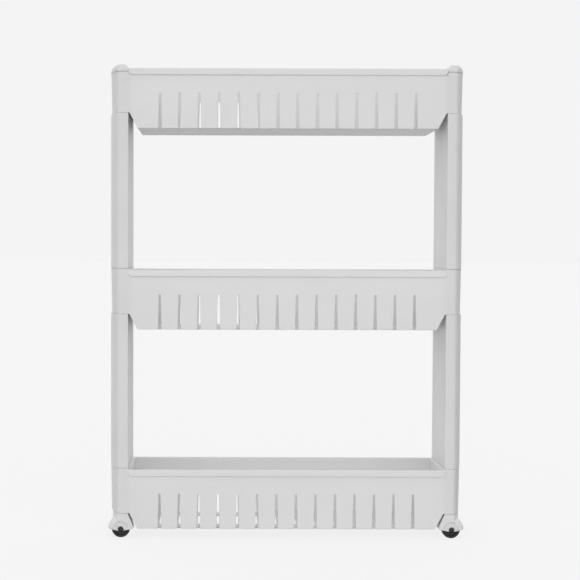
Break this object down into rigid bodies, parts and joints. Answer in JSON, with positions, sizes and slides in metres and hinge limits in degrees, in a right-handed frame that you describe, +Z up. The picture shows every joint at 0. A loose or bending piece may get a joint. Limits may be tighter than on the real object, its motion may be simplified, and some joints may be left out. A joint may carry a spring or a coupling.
{
  "type": "rolling pantry cart",
  "caption": "Slim upright storage cart on fixed casters: open slotted trays stacked between rounded end panels, rolling lengthways into a narrow gap.",
  "frame": {"origin": "on the floor, under the middle of the cart", "axes": "+Z up; X along the cart, the way it rolls, +X towards the right-hand end; Y across it, with -Y the front"},
  "size_m": [0.5414, 0.125, 0.718],
  "materials": {
    "cart_plastic": "satin moulded polypropylene, light grey-white",
    "wheel_plastic": "black moulded plastic, slightly shiny",
    "axle_steel": "plain bright steel pin"
  },
  "bodies": {
    "cart": {"top_tray": "cart_plastic", "middle_tray": "cart_plastic", "bottom_tray": "cart_plastic", "upper_left_panel": "cart_plastic", "upper_right_panel": "cart_plastic", "lower_left_panel": "cart_plastic", "lower_right_panel": "cart_plastic", "left_end_cap": "cart_plastic", "right_end_cap": "cart_plastic", "front_left_caster_hood": "cart_plastic", "front_left_axle": "axle_steel", "front_left_hub_cap": "wheel_plastic", "front_right_caster_hood": "cart_plastic", "front_right_axle": "axle_steel", "front_right_hub_cap": "wheel_plastic", "back_left_caster_hood": "cart_plastic", "back_left_axle": "axle_steel", "back_left_hub_cap": "wheel_plastic", "back_right_caster_hood": "cart_plastic", "back_right_axle": "axle_steel", "back_right_hub_cap": "wheel_plastic"},
    "front_left_wheel": {"front_left_wheel": "wheel_plastic"},
    "front_right_wheel": {"front_right_wheel": "wheel_plastic"},
    "back_left_wheel": {"back_left_wheel": "wheel_plastic"},
    "back_right_wheel": {"back_right_wheel": "wheel_plastic"}
  },
  "joints": [
    {"name": "front_left_wheel_spin", "type": "hinge", "parent": "cart", "child": "front_left_wheel", "pos_m": [-0.2515, -0.049, 0.014], "axis": [0, 1, 0], "continuous": true},
    {"name": "front_right_wheel_spin", "type": "hinge", "parent": "cart", "child": "front_right_wheel", "pos_m": [0.2515, -0.049, 0.014], "axis": [0, 1, 0], "continuous": true},
    {"name": "back_left_wheel_spin", "type": "hinge", "parent": "cart", "child": "back_left_wheel", "pos_m": [-0.2515, 0.049, 0.014], "axis": [0, 1, 0], "continuous": true},
    {"name": "back_right_wheel_spin", "type": "hinge", "parent": "cart", "child": "back_right_wheel", "pos_m": [0.2515, 0.049, 0.014], "axis": [0, 1, 0], "continuous": true}
  ]
}
